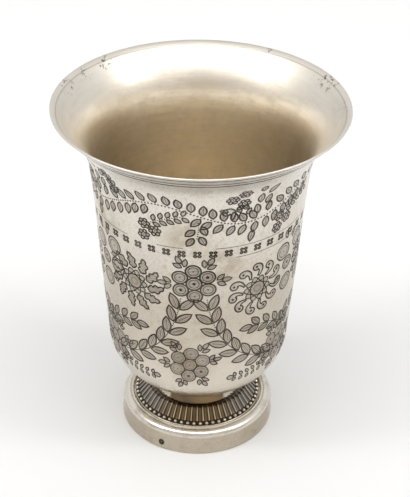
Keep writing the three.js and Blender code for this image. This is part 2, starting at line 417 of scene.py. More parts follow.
@dataclass
class Ornament:
    """The layout of the engraving on the unrolled wall: across at a reference radius, up along the wall."""

    reference_radius: float = 31.0
    front: float = -2.2
    repeats: int = 3
    cluster_up: float = 62.8
    cluster_ring: float = 4.65
    roundel_radius: float = 2.28
    large_roundel_radius: float = 2.95
    large_places: tuple[Pair, ...] = ((-2.7, 5.2), (5.3, 6.6), (6.3, -0.6), (0.4, -7.3))
    worn_up: float = 30.7
    rosette_turn: float = 36.0
    rosette_up: Pair = (59.1, 57.8)
    rosette_leaves: int = 11
    branch: tuple[Pair, ...] = ((30.5, 28.6), (6.9, 31.4), (3.9, 57.2))
    branch_leaf: Pair = (6.1, 2.75)
    side_branch: tuple[Pair, ...] = ((2.0, 38.0), (-5.0, 42.6), (-13.2, 43.4))
    garland_up: float = 87.2
    garland_swing: float = 3.3
    garland_waves: int = 4
    garland_crest: float = -20.8
    quatrefoils: int = 44
    quatrefoil_up: float = 73.7
    band_lines: Pair = (71.7, 75.7)
    lower_run_up: float = 24.2
    pendant_up: float = 85.6
    upper_spray_up: float = 85.8
    left_spray_up: float = 90.5
    blossoms_up: float = 82.3
    marks: list[Mark] = field(default_factory=list)

    def across(self, degrees: float) -> float:
        """Distance to the right of the front for an angle around the beaker."""
        return math.radians(degrees) * self.reference_radius

    @property
    def girth(self) -> float:
        """Length once around on the unrolled wall."""
        return self.across(360.0)

    def place(self, marks: Sequence[Mark], degrees: float, up: float, flip: bool = False) -> None:
        """Keeps marks at an angle around the beaker and a height along the wall."""
        self.marks += moved(marks, 0, self.across(degrees), up, flip)

    def garland_line(self, start: float, end: float, steps: int) -> Path:
        """The waving stem of the upper garland between two angles.

        Args:
            start: first angle in degrees.
            end: last angle.
            steps: spans along it.

        Returns:
            Points on the unrolled wall.
        """
        degrees = np.linspace(start, end, steps + 1)
        phase = np.radians((degrees - self.garland_crest) * self.garland_waves)
        up = self.garland_up + self.garland_swing * np.cos(phase)
        return np.column_stack([np.radians(degrees) * self.reference_radius, up])

    def draw_cluster(self, degrees: float) -> None:
        """Seven roundels with four sprigs around them.

        Args:
            degrees: angle around the beaker, from the front.
        """
        roundel = Motifs.roundel(self.roundel_radius, Tone.HATCHED)
        marks = roundel + reached(roundel, range(93, 453, 60), self.cluster_ring, spin=0)
        edge = self.cluster_ring + self.roundel_radius
        marks += reached(Motifs.sprig(4.9), (60, 118, 8, 184), edge - 0.6)
        self.place(marks, degrees, self.cluster_up)

    def draw_large_cluster(self, degrees: float) -> None:
        """Four large roundels around a small one, with single leaves between.

        Args:
            degrees: angle around the beaker, from the front.
        """
        marks = Motifs.roundel(self.roundel_radius, Tone.LIGHT)
        large = Motifs.roundel(self.large_roundel_radius, Tone.LIGHT)
        marks += spread(large, [(0, *spot) for spot in self.large_places])
        marks += spread(Motifs.small_leaf(3.2, 1.5), (
            (80, 1.6, 8.6), (20, 3.4, 2.6), (-40, 3.6, -4.6), (215, -3.4, -3.4), (110, -1.2, 9.6)))
        self.place(marks, degrees, self.cluster_up - 1.2)

    def draw_worn_cluster(self, degrees: float) -> None:
        """The lower cluster, whose roundels are rubbed together, with six sprigs around it.

        Args:
            degrees: angle around the beaker, from the front.
        """
        ground = Mark(circle(self.cluster_ring * 1.22, 20), width=0.2, depth=0.02, tone=Tone.WORN)
        marks = [ground, *Motifs.roundel(self.roundel_radius, Tone.WORN)]
        outer = Motifs.roundel(self.roundel_radius + 0.1, Tone.WORN)
        marks += reached(outer, range(85, 445, 60), self.cluster_ring * 0.98, spin=0)
        marks = [replace(mark, depth=mark.depth * 0.4) for mark in marks]
        edge = self.cluster_ring + self.roundel_radius
        marks += reached(Motifs.sprig(4.6), (57, 124, 14, 182, 250, 303), edge - 0.7)
        self.place(marks, degrees, self.worn_up)

    def draw_branch(self, degrees: float, flip: bool) -> None:
        """A hanging branch of eight pairs of leaves on a stem that is dotted near its tip.

        Args:
            degrees: angle around the beaker, from the front.
            flip: mirrors the marks left to right.
        """
        stem = bezier(self.branch, 24)
        marks = [Mark(stem[:18], closed=False, width=0.34, depth=0.1)]
        marks += Motifs.dotted(stem[17:], 0.8, 0.3)
        for x, y, growth in walk(stem, 8, 0.02, 0.88):
            marks += reached(Motifs.leaf(*self.branch_leaf), (growth - 32, growth + 34), 0.75, x, y)
        self.place(marks, degrees, 0, flip)

    def draw_side_branch(self, degrees: float, flip: bool) -> None:
        """A shorter spray of leaves that reaches out under the rosette.

        Args:
            degrees: angle around the beaker, from the front.
            flip: mirrors the marks left to right.
        """
        stem = bezier(self.side_branch, 16)
        leaf = Motifs.leaf(4.5, 2.3, Tone.HATCHED, 6)
        marks = [Mark(stem, closed=False, width=0.3, depth=0.1)]
        for x, y, growth in walk(stem, 4, 0.0, 0.8):
            marks += reached(leaf, (growth - 34, growth + 34), 0.7, x, y)
        marks += moved(leaf, 184, *stem[-1])
        self.place(marks, degrees, 0, flip)

    def draw_rosette(self, degrees: float, lobed: bool, up: float) -> None:
        """A disc ringed with small petals, with lobed leaves or curled tendrils around it.

        Args:
            degrees: angle around the beaker, from the front.
            lobed: lobed leaves in place of tendrils.
            up: height along the wall.
        """
        marks = [Mark(circle(2.55, 20), tone=Tone.HATCHED), Mark(circle(1.2, 10), width=0.22, depth=0.05)]
        marks += reached(Motifs.small_leaf(1.9, 2.0, Tone.LIGHT), range(0, 360, 36), 2.75)
        outer = Motifs.lobed_leaf(5.3, 3.2, 42) if lobed else moved(Motifs.tendril(4.6, 135), -30, 0, 0)
        turns = [90 + index * 360 / self.rosette_leaves for index in range(self.rosette_leaves)]
        marks += reached(outer, turns, 4.95)
        self.place(marks, degrees, up)

    def draw_lower_run(self, degrees: float, flip: bool) -> None:
        """A small run that starts with a bud and goes on in pairs of curled leaves.

        Args:
            degrees: angle around the beaker, from the front.
            flip: mirrors the marks left to right.
        """
        marks = Motifs.small_leaf(2.6, 2.0)
        stem = bezier([(2.6, 0.0), (8.0, -0.6), (15.0, 1.8)], 16)
        for x, y, growth in walk(stem, 6, 0.05, 1.0):
            for side in (-1, 1):
                marks += moved(Motifs.small_leaf(1.9, 1.15), growth + 180 - side * 62, x, y + side * 0.25)
        self.place(marks, degrees, self.lower_run_up, flip)

    def draw_garland(self) -> None:
        """The upper garland: a waving stem whose leaves are single where other stems come close."""
        leaf, wave_turn, pairs = Motifs.leaf(3.7, 2.05, Tone.HATCHED, 6), 360 / self.garland_waves, 16
        for wave in range(self.garland_waves):
            start = self.garland_crest + wave * wave_turn
            line = self.garland_line(start, start + wave_turn, 40)
            self.marks += Motifs.dotted(line, 0.98, 0.35)
            for index, (x, y, growth) in enumerate(walk(line, pairs, 0.0, 1 - 1 / pairs)):
                sides = (1,) if index < 4 else (-1,) if index in (10, 11) else (-1, 1)
                lean = 66 + 4 * math.sin(index * 2.1)
                self.marks += reached(leaf, [growth + 180 - side * lean for side in sides], 0.75, x, y)

    def draw_pendant(self, degrees: float) -> None:
        """A hanging sprig of four leaves.

        Args:
            degrees: angle around the beaker, from the front.
        """
        marks = Motifs.dotted(bezier([(0, 0), (0.4, -3.5), (-0.4, -6.5)], 8), 0.8)
        marks += spread(Motifs.leaf(3.4, 2.0, Tone.WORN, 6), (
            (-68, 1.0, -1.6), (222, -0.9, -3.0), (236, -1.2, -6.0), (-62, 0.5, -5.4)))
        self.place(marks, degrees, self.pendant_up)

    def draw_blossoms(self, degrees: float) -> None:
        """Three small blossoms at the end of a leafy dotted stem that comes from the right.

        Args:
            degrees: angle around the beaker, from the front.
        """
        marks = spread(Motifs.blossom(1.85), ((12, 0.0, 0.0), (12, 3.2, -1.8), (12, -0.3, -4.1)))
        stem = bezier([(1.9, 1.0), (5.5, 3.4), (11.5, 5.0)], 14)
        marks += Motifs.dotted(stem, 0.75)
        for x, y, growth in walk(stem, 5, 0.1, 0.95):
            marks += spread(Motifs.small_leaf(2.3, 1.35), [
                (growth + side * 52, x, y + side * 0.4) for side in (-1, 1)])
        self.place(marks, degrees, self.blossoms_up)

    def draw_upper_spray(self, degrees: float) -> None:
        """A spray that rises from the garland, with blossoms and large leaves.

        Args:
            degrees: angle around the beaker, from the front.
        """
        marks = spread(Motifs.blossom(1.75), ((0, -0.6, 7.6), (0, 2.5, 9.8), (0, 2.7, 5.5)))
        marks += moved(Motifs.tendril(4.4, 150), 70, -0.4, 0.2)
        marks += moved(Motifs.small_leaf(2.6, 1.9, Tone.DARK), 96, 7.6, 9.2)
        for length, *place in (
                (3.8, 52, 9.6, 7.6), (3.4, 88, 7.4, 4.6), (3.4, 104, 7.2, 0.8), (3.2, 80, 10.2, 0.6),
                (3.2, 70, 9.4, 3.6), (3.9, -100, 6.0, -5.2)):
            marks += moved(Motifs.leaf(length, 1.9), *place)
        marks += spread(Motifs.small_leaf(2.3, 1.4), (
            (120, 2.0, 2.4), (64, 3.8, 1.2), (150, 4.2, 3.4), (30, 0.8, 3.6), (160, -1.6, 3.0)))
        self.place(marks, degrees, self.upper_spray_up)

    def draw_left_spray(self, degrees: float) -> None:
        """A short upright spray of small leaves above the garland's crest.

        Args:
            degrees: angle around the beaker, from the front.
        """
        stem = bezier([(1.2, -2.0), (0.0, 2.0), (-1.4, 5.6)], 8)
        marks = Motifs.dotted(stem, 0.8)
        for x, y, growth in walk(stem, 4, 0.15, 1.0):
            marks += spread(Motifs.leaf(2.9, 1.6, Tone.HATCHED, 5), [
                (growth + side * 52, x + side * 0.4, y) for side in (-1, 1)])
        self.place(marks, degrees, self.left_spray_up)

    def draw_band(self) -> None:
        """The row of quatrefoils and the two fine lines that bound it, rubbed away in places."""
        for index in range(self.quatrefoils):
            self.place(Motifs.quatrefoil(2.25), -0.6 + index * 360 / self.quatrefoils, self.quatrefoil_up)
        for up, stretches in zip(self.band_lines, (((20, 72), (110, 300)), ((-22, -8), (9, 78), (120, 320)))):
            for start, end in stretches:
                degrees = np.linspace(start, end, 2 + int((end - start) / 4))
                across = np.radians(degrees) * self.reference_radius
                path = np.column_stack([across, np.full(len(degrees), up)])
                self.marks.append(Mark(path, closed=False, width=0.26, depth=0.06))

    def draw(self) -> list[Mark]:
        """Draws every motif around the whole bowl.

        Returns:
            All marks, each once, with those near the seam repeated on its other side.
        """
        for repeat in range(self.repeats):
            here = self.front + repeat * 360 / self.repeats
            between = here + 180 / self.repeats
            self.draw_cluster(here)
            self.draw_large_cluster(between)
            self.draw_worn_cluster(here - 2.2)
            self.draw_worn_cluster(between)
            for side, up in zip((-1, 1), self.rosette_up):
                self.draw_rosette(here + side * self.rosette_turn + 0.6, side < 0, up)
                self.draw_branch(here, side < 0)
                self.draw_side_branch(between, side < 0)
                self.draw_lower_run(here + side * 21.0, side < 0)
        self.draw_garland()
        for index in range(4):
            self.draw_pendant(-0.4 + index * 90)
            self.draw_upper_spray(17.0 + index * 90)
        for degrees in (-46.5, 133.5, 223.5):
            self.draw_left_spray(degrees)
        for index in range(5):
            self.draw_blossoms(-28.6 + index * 73.2)
        self.draw_band()
        half = self.girth / 2
        placed: list[Mark] = []
        for mark in self.marks:
            turns = round(float(mark.path[:, 0].mean()) / self.girth)
            mark = replace(mark, path=mark.path - np.array([turns * self.girth, 0.0]))
            placed.append(mark)
            for side in (-1, 1):
                if (side * mark.path[:, 0]).max() > half - 1.0:
                    placed.append(replace(mark, path=mark.path - np.array([side * self.girth, 0.0])))
        return placed


@dataclass
class WallSheet:
    """The unrolled wall: triangles whose corners follow every engraved line."""

    girth: float
    low: float
    high: float
    columns: int = 96
    row_pitch: float = 2.6
    points: list[np.ndarray] = field(default_factory=list)
    edges: list[np.ndarray] = field(default_factory=list)
    total: int = 0

    def add_points(self, places: np.ndarray) -> None:
        """Adds points with nothing between them."""
        self.points.append(places)
        self.total += len(places)

    def add_line(self, path: Path, closed: bool) -> None:
        """Adds a line whose spans become edges of triangles.

        Args:
            path: its points in order.
            closed: whether its end joins its start.
        """
        count = len(path)
        first = np.arange(count if closed else count - 1)
        self.edges.append(np.column_stack([first, (first + 1) % count]) + self.total)
        self.add_points(path)

    def add_grid(self) -> None:
        """Adds evenly spaced rows, with the four outer sides of the sheet."""
        rows = 1 + math.ceil((self.high - self.low) / self.row_pitch)
        across = np.linspace(-self.girth / 2, self.girth / 2, self.columns + 1)
        heights = np.linspace(self.low, self.high, rows)
        for index, height in enumerate(heights):
            row = np.column_stack([across, np.full(len(across), height)])
            if index in (0, rows - 1):
                self.add_line(row, False)
            else:
                self.add_points(row)
        for side in (-1, 1):
            self.add_line(np.column_stack([np.full(rows, side * self.girth / 2), heights]), False)

    def triangles(self) -> tuple[np.ndarray, np.ndarray]:
        """Joins all points into triangles inside the sheet.

        Returns:
            The corner points and the triangles' corner numbers.
        """
        points = np.vstack(self.points)
        corners = [Vector(point) for point in points.tolist()]
        spans = [tuple(pair) for pair in np.vstack(self.edges).tolist()]
        result = delaunay_2d_cdt(corners, spans, [], 0, 1e-4, False)
        places = np.array([tuple(corner) for corner in result[0]])
        faces = np.array(result[2])
        middle = places[faces].mean(axis=1)
        inside = (middle[:, 1] > self.low) & (middle[:, 1] < self.high)
        return places, faces[inside & (np.abs(middle[:, 0]) < self.girth / 2)]


class Engraver:
    """Turns marks into a sheet of triangles with a depth and a tone at every corner."""

    sample_pitch: float = 0.1
    full_depth: float = 0.13
    least_share: float = 0.06

    def __init__(self, marks: Sequence[Mark], sheet: WallSheet) -> None:
        """Keeps the marks and adds their lines to the sheet.

        Args:
            marks: what is engraved.
            sheet: the wall that it is cut into.
        """
        self.marks = marks
        self.sheet = sheet
        self.insides: list[tuple[Path, float, float]] = []
        for mark in marks:
            self.add(mark)

    @staticmethod
    def beside(path: Path, closed: bool, distance: float) -> Path:
        """The path moved to its left by a distance.

        Args:
            path: its points in order.
            closed: whether its end joins its start.
            distance: how far, negative to the right.

        Returns:
            The moved points.
        """
        ring = np.vstack([path[-1:], path, path[:1]]) if closed else np.vstack([
            2 * path[:1] - path[1:2], path, 2 * path[-1:] - path[-2:-1]])
        before = path - ring[:-2]
        after = ring[2:] - path
        before /= np.maximum(np.linalg.norm(before, axis=1), 1e-9)[:, None]
        after /= np.maximum(np.linalg.norm(after, axis=1), 1e-9)[:, None]
        along = before + after
        along /= np.maximum(np.linalg.norm(along, axis=1), 1e-3)[:, None]
        stretch = np.minimum(1 / np.maximum(np.abs((along * before).sum(axis=1)), 0.5), 1.5)
        return path + np.column_stack([-along[:, 1], along[:, 0]]) * (distance * stretch)[:, None]

    def add(self, mark: Mark) -> None:
        """Adds a mark's middle line and both its edges.

        Args:
            mark: the mark.
        """
        if mark.is_dot:
            self.sheet.add_line(mark.path, True)
            self.sheet.add_points(mark.path.mean(axis=0)[None, :])
            return
        half = mark.width / 2
        left, right = (self.beside(mark.path, mark.closed, side * half) for side in (1, -1))
        if mark.closed:
            for line in (left, mark.path, right):
                self.sheet.add_line(line, True)
            if mark.tone is not Tone.BARE:
                self.insides.append((left, mark.tone.value, math.radians(mark.grain)))
            return
        start, end = mark.path[:1], mark.path[-1:]
        ahead = end + (end - mark.path[-2:-1]) / np.linalg.norm(end - mark.path[-2:-1]) * half
        behind = start + (start - mark.path[1:2]) / np.linalg.norm(start - mark.path[1:2]) * half
        self.sheet.add_line(np.vstack([left, ahead, right[::-1], behind]), True)
        self.sheet.add_line(mark.path, False)

    def samples(self) -> tuple[KDTree, np.ndarray, np.ndarray]:
        """Closely spaced places on every middle line, with the line's half width and depth there.

        Returns:
            A search tree of the places, their half widths and their depths.
        """
        places, halves, depths = [], [], []
        for mark in self.marks:
            if mark.is_dot:
                spots = mark.path.mean(axis=0)[None, :]
                half = np.linalg.norm(mark.path - spots, axis=1).mean()
            else:
                ring = np.vstack([mark.path, mark.path[:1]]) if mark.closed else mark.path
                along = lengths_along(ring)
                even = np.linspace(0, along[-1], 2 + int(along[-1] / self.sample_pitch))
                spots = points_at(np.concatenate([even, along]), along, ring)
                half = mark.width / 2
            places.append(spots)
            halves.append(np.full(len(spots), half))
            depths.append(np.full(len(spots), mark.depth))
        spots = np.vstack(places)
        tree = KDTree(len(spots))
        for index, spot in enumerate(spots.tolist()):
            tree.insert((spot[0], spot[1], 0.0), index)
        tree.balance()
        return tree, np.concatenate(halves), np.concatenate(depths)

    def depth_at(self, places: np.ndarray) -> np.ndarray:
        """Depth of the engraving at places of the sheet.

        Args:
            places: places on the unrolled wall.

        Returns:
            The depths in millimetres.
        """
        tree, halves, depths = self.samples()
        found = [tree.find((x, y, 0.0)) for x, y in places.tolist()]
        nearest = np.array([hit[1] for hit in found])
        distance = np.array([hit[2] for hit in found])
        share = 1 - distance / halves[nearest]
        return np.where(share > self.least_share, depths[nearest] * np.clip(share, 0, 1), 0.0)

    def hatching_at(self, places: np.ndarray) -> tuple[np.ndarray, np.ndarray]:
        """Darkness of the hatching and its direction in radians at places of the sheet.

        Args:
            places: places on the unrolled wall.

        Returns:
            The darkness and the direction, 0 where nothing is hatched.
        """
        tone = np.zeros(len(places))
        grain = np.zeros(len(places))
        order = np.argsort(places[:, 0])
        ordered = places[order, 0]
        for path, value, direction in self.insides:
            low, high = path.min(axis=0) - 1e-3, path.max(axis=0) + 1e-3
            near = order[np.searchsorted(ordered, low[0]):np.searchsorted(ordered, high[0])]
            near = near[(places[near, 1] > low[1]) & (places[near, 1] < high[1])]
            middle = path.mean(axis=0)
            grown = middle + (path - middle) * 1.01
            x, y = places[near, 0], places[near, 1]
            crossings = np.zeros(len(near), dtype=int)
            for (x0, y0), (x1, y1) in zip(grown, np.roll(grown, -1, axis=0)):
                if y0 != y1:
                    spans = (y0 > y) != (y1 > y)
                    crossings += spans & (x < (x1 - x0) * (y - y0) / (y1 - y0) + x0)
            tone[near[crossings % 2 == 1]] = value
            grain[near[crossings % 2 == 1]] = direction
        return tone, grain


class Socket:
    """A shader value that takes part in ordinary arithmetic."""

    def __init__(self, shader: "Shader", socket: bpy.types.NodeSocket) -> None:
        """Keeps the value's socket and the shader that it belongs to."""
        self.shader = shader
        self.socket = socket

    def _math(self, operation: str, *values: "Socket | float") -> "Socket":
        """A Math node of an operation on values."""
        return self.shader.node("ShaderNodeMath", {"operation": operation}, dict(enumerate(values)))

    def __add__(self, other: "Socket | float") -> "Socket":
        """Sum."""
        return self._math("ADD", self, other)

    def __sub__(self, other: "Socket | float") -> "Socket":
        """Difference."""
        return self._math("SUBTRACT", self, other)

    def __rsub__(self, other: float) -> "Socket":
        """Difference from a number."""
        return self._math("SUBTRACT", other, self)

    def __mul__(self, other: "Socket | float") -> "Socket":
        """Product."""
        return self._math("MULTIPLY", self, other)

    __radd__ = __add__
    __rmul__ = __mul__

    def magnitude(self) -> "Socket":
        """This value without its sign."""
        return self._math("ABSOLUTE", self)

    def at_most(self, other: "Socket | float") -> "Socket":
        """The smaller of two values."""
        return self._math("MINIMUM", self, other)

    def at_least(self, other: "Socket | float") -> "Socket":
        """The larger of two values."""
        return self._math("MAXIMUM", self, other)

    def between(self, low: float, high: float) -> "Socket":
        """A smooth step from 0 at low to 1 at high.

        Args:
            low: where the step starts.
            high: where it ends.

        Returns:
            The step.
        """
        return self.shader.node(
            "ShaderNodeMapRange", {"interpolation_type": "SMOOTHSTEP"},
            {"Value": self, "From Min": low, "From Max": high})


class Shader:
    """Builds one material around a Principled shader."""

    def __init__(self, name: str) -> None:
        """Starts an empty node tree with its output and Principled shader.

        Args:
            name: the material's name.
        """
        self.material = bpy.data.materials.new(name)
        self.material.use_nodes = True
        self.tree = self.material.node_tree
        self.tree.nodes.clear()
        output = self.tree.nodes.new("ShaderNodeOutputMaterial")
        self.principled = self.tree.nodes.new("ShaderNodeBsdfPrincipled")
        self.tree.links.new(self.principled.outputs[0], output.inputs[0])
        self.place = self.node("ShaderNodeTexCoord", {}, {}, "Object")

    def node(self, kind: str, settings: dict, values: dict, output: "str | int" = 0) -> Socket:
        """Makes a node.

        Args:
            kind: the node's type.
            settings: properties set before the sockets.
            values: socket name or number to a Socket, a number or a colour.
            output: the socket that is returned.

        Returns:
            The chosen output.
        """
        node = self.tree.nodes.new(kind)
        for key, value in settings.items():
            setattr(node, key, value)
        for key, value in values.items():
            if isinstance(value, Socket):
                self.tree.links.new(value.socket, node.inputs[key])
            else:
                node.inputs[key].default_value = value
        return Socket(self, node.outputs[output])

    def noise(self, scale: float, detail: float, roughness: float, stretch: Triple = (1, 1, 1)) -> Socket:
        """Noise on the object's own coordinates, with a scale along each axis.

        Args:
            scale: how many clouds there are in a metre.
            detail: how many finer layers are added.
            roughness: how strong the finer layers are.
            stretch: scale along each axis.

        Returns:
            The noise, from 0 to 1.
        """
        place = self.node("ShaderNodeMapping", {}, {"Vector": self.place, "Scale": stretch})
        values = {"Vector": place, "Scale": scale, "Detail": detail, "Roughness": roughness}
        return self.node("ShaderNodeTexNoise", {}, values)

    def mix(self, share: "Socket | float", first: "Socket | tuple", second: "Socket | tuple") -> Socket:
        """A colour between two, by a share."""
        values = {0: share, 6: self.colour(first), 7: self.colour(second)}
        return self.node("ShaderNodeMix", {"data_type": "RGBA"}, values, 2)

    @staticmethod
    def colour(value: "Socket | tuple") -> "Socket | tuple":
        """A colour with its fourth number, or the socket itself."""
        return value if isinstance(value, Socket) else (*value, 1.0)

    def attribute(self, name: str) -> Socket:
        """A number stored at the corners of the mesh."""
        return self.node("ShaderNodeAttribute", {"attribute_name": name}, {}, "Fac")

    def coordinate(self, axis: str) -> Socket:
        """One of the object's own coordinates, X, Y or Z, in metres."""
        return self.node("ShaderNodeSeparateXYZ", {}, {0: self.place}, axis)

    def near(self, spot: Sequence[float], core: float, reach: float) -> Socket:
        """1 within a core distance of a place, falling to 0 at a reach from it, all in metres.

        Args:
            spot: the place.
            core: the distance within which it is 1.
            reach: the distance at which it is 0.

        Returns:
            The share.
        """
        distance = self.node(
            "ShaderNodeVectorMath", {"operation": "DISTANCE"}, {0: self.place, 1: tuple(spot)}, "Value")
        return 1.0 - distance.between(core, reach)

    def finish(self, **values: "Socket | float | tuple") -> bpy.types.Material:
        """Sets the Principled shader's sockets, named with underscores for spaces.

        Args:
            values: each socket's name and value.

        Returns:
            The material.
        """
        for key, value in values.items():
            socket = self.principled.inputs[key.replace("_", " ")]
            if isinstance(value, Socket):
                self.tree.links.new(value.socket, socket)
            else:
                socket.default_value = (*value, 1.0) if isinstance(value, tuple) else value
        return self.material

    def metal(
            self, colour: Socket, roughness: Socket, relief: Socket, distance: float,
            metallic: "Socket | float" = 1.0) -> bpy.types.Material:
        """Finishes the material as metal.

        Args:
            colour: the base colour.
            roughness: the roughness.
            relief: fine height, in units of the distance.
            distance: one unit of the relief in metres.
            metallic: how metallic it is.

        Returns:
            The material.
        """
        normal = self.node("ShaderNodeBump", {}, {"Height": relief, "Distance": distance}, "Normal")
        return self.finish(Base_Color=colour, Metallic=metallic, Roughness=roughness, Normal=normal)


@dataclass(frozen=True)
class Silver:
    """A warm old silver: its clean colour, its stains, the colours of its painted reflections and painted
    light, and how far it is polished.
    """

    clean: Triple = (0.785, 0.75, 0.69)
    # the colour that the metal darkens to towards the bottom
    lower_colour: Triple = (0.52, 0.46, 0.375)
    # bright: the rubbed crest of the base band, the painted sheen low on the belly, and the inside near the
    # rim where its painted light starts
    bright: Triple = (0.88, 0.835, 0.76)
    # deep: the inside's colour deep down, warmer and brighter as painted light, and the frieze's base colour
    deep: Triple = (0.95, 0.86, 0.7)
    stain: Triple = (0.36, 0.28, 0.17)
    tarnish: Triple = (0.03, 0.023, 0.016)
    wax: Triple = (0.108, 0.077, 0.047)
    # Mottled dark and light brown of the collar's painted reflection.
    painted_reflection_dark: Triple = (0.085, 0.055, 0.036)
    painted_reflection_light: Triple = (0.2, 0.13, 0.06)
    # Tarnish in the frieze's hollows: golden brown in front, where it carries a painted reflection, and grey
    # behind.
    hollow_tarnish_painted_reflection: Triple = (0.27, 0.18, 0.085)
    hollow_back: Triple = (0.29, 0.265, 0.235)
    roughness: float = 0.3
    stain_scale: float = 42.0
    stain_share: float = 0.6
    stain_reach: float = 0.0105
    # heights in metres over which the bowl darkens towards its seat
    seat_darkening: Pair = (0.0184, 0.0198)

    def surface(self, shader: Shader) -> tuple[Socket, Socket, Socket]:
        """Colour, roughness and fine height of the plain metal.

        Args:
            shader: the material that is being built.

        Returns:
            The three sockets.
        """
        cloud = shader.noise(self.stain_scale, 5.0, 0.62)
        patches = shader.noise(self.stain_scale * 3.1, 4.0, 0.7)
        stains = cloud.between(0.5, 0.72) * patches.between(0.42, 0.7) * self.stain_share
        fine = shader.noise(640.0, 3.0, 0.65)
        height = shader.coordinate("Z")
        # The colour darkens towards the bottom, from about 112 mm down to 35 mm, with an uneven edge.
        lowness = (1.0 - (height + (cloud - 0.5) * 0.04).between(0.035, 0.112)) * 0.95
        colour = shader.mix(lowness, self.clean, self.lower_colour)
        colour = shader.mix(stains, colour, self.stain)
        colour = shader.mix(fine.between(0.5, 0.76) * 0.4, colour, self.stain)
        grain = shader.noise(2300.0, 2.0, 0.5)
        colour = shader.mix(grain.between(0.45, 0.72) * 0.3, colour, self.stain)
        scratches = shader.noise(900.0, 2.0, 0.5, (1.0, 1.0, 0.08))
        roughness = self.roughness + (cloud - 0.5) * 0.14 + (fine - 0.5) * 0.12
        return colour, roughness, fine * 0.5 + scratches * 0.5

    def painted_reflection_finish(self, name: str, reach: float) -> bpy.types.Material:
        """The finish of the collar, with a painted reflection that browns it in front and behind.

        Args:
            name: the material's name.
            reach: distance from the middle plane beyond which the painted reflection is brown, in metres.

        Returns:
            The material.
        """
        shader = Shader(name)
        colour, roughness, height = self.surface(shader)
        uneven = shader.noise(90.0, 2.0, 0.5)
        # Painted reflection: past the reach from the middle plane, in front and behind, the colour turns
        # mottled dark brown.
        depth = shader.coordinate("Y").magnitude() + (uneven - 0.5) * 0.001
        share = depth.between(reach * 0.97, reach * 1.03)
        brown = shader.mix(uneven.between(0.35, 0.65), self.painted_reflection_dark, self.painted_reflection_light)
        return shader.metal(shader.mix(share * 0.95, colour, brown), roughness, height, 4e-6)

    def pitted(self, name: str, pit: Triple, radius: float, crest: float) -> bpy.types.Material:
        """The finish of the base band, brighter on its rubbed crest, with one round dark pit.

        Args:
            name: the material's name.
            pit: where the pit is, in metres.
            radius: the pit's radius in metres.
            crest: height above which the band is rubbed bright, in metres.

        Returns:
            The material.
        """
        shader = Shader(name)
        colour, roughness, height = self.surface(shader)
        rise = shader.coordinate("Z")
        rubbed = rise.between(crest - 0.0014, crest)
        colour = shader.mix(rubbed * 0.85, colour, self.bright)
        stains = shader.noise(170.0, 4.0, 0.7).between(0.47, 0.64)
        colour = shader.mix(stains * (0.15 + 0.25 * rubbed), colour, self.stain)
        share = shader.near(pit, radius * 0.7, radius * 1.05)
        dark = (share - shader.near(pit, 0.0, radius * 0.5) * 0.5).at_least(0.0)
        colour = shader.mix(dark * 0.97, colour, self.tarnish)
        return shader.metal(colour, roughness + dark * 0.3 + rubbed * 0.12, height * 0.02 - share, 2e-4)

    def engraved(
            self, name: str, rim: float, worn: Sequence[tuple],
            stained: Sequence[Triple]) -> bpy.types.Material:
        """The finish of the bowl: dark cut lines and hatching outside, with a painted sheen low on the belly,
        and a brushed, stained inside with painted light and shade.

        Args:
            name: the material's name.
            rim: height of the rim in metres.
            worn: places inside the lip that are pitted with dark specks, each with its reach, in metres.
            stained: places outside with a brown stain, in metres.

        Returns:
            The material.
        """
        shader = Shader(name)
        colour, roughness, height = self.surface(shader)
        cut = shader.attribute("cut")
        tone = shader.attribute("tone")
        inner = shader.attribute("inner")
        rise = shader.coordinate("Z")
        unrolled = shader.node("ShaderNodeUVMap", {"uv_map": "unrolled"}, {})
        hatch = shader.node("ShaderNodeTexWave", {"wave_type": "BANDS", "bands_direction": "Y"}, {
            "Vector": unrolled, "Scale": 560.0, "Distortion": 1.1, "Detail": 1.0, "Detail Scale": 2.0}, "Fac")
        rubbed = shader.noise(150.0, 3.0, 0.6).between(0.3, 0.7)
        low = 1.0 - rise.between(*self.seat_darkening)
        # Painted sheen: below 30 mm the belly is lightened towards the bright colour, fading out by 60 mm,
        # standing in for a brighter mirrored floor.
        colour = shader.mix(0.45 - 0.45 * rise.between(0.03, 0.06), colour, self.bright)
        # The bowl darkens towards its seat, half-way to the stain colour.
        colour = shader.mix(low * 0.5, colour, self.stain)
        mottled = shader.noise(170.0, 4.0, 0.7).between(0.34, 0.56)
        brown = sum(shader.near(spot, 0.0, self.stain_reach) for spot in stained) * mottled
        colour = shader.mix((brown * 0.55).at_most(0.55), colour, self.stain)
        shade = (tone * (0.31 + 0.52 * hatch) * (0.8 + 0.3 * rubbed)).at_most(1.0)
        colour = shader.mix(shade, colour, self.wax)
        line = cut.between(0.01, 0.28) * (0.86 + 0.14 * rubbed)
        colour = shader.mix(line, colour, self.tarnish)
        # Painted light and shade inside: deep down, the colour turns from the bright colour to the warmer,
        # brighter deep colour; the back wall's deep zone starts a little higher.
        back = shader.coordinate("Y").between(0.004, 0.03)
        depth = 1.0 - (rise - back * 0.0045).between(rim - 0.024, rim - 0.006)
        rings = shader.noise(620.0, 4.0, 0.65, (0.12, 0.12, 1.0)).between(0.35, 0.7)
        blots = shader.noise(120.0, 5.0, 0.74).between(0.42, 0.7)
        inside = shader.mix(depth, self.bright, self.deep)
        # Painted shade on the inside's left and right walls, deep down.
        shadowed = shader.coordinate("X").magnitude().between(0.014, 0.034) * 0.3 * depth
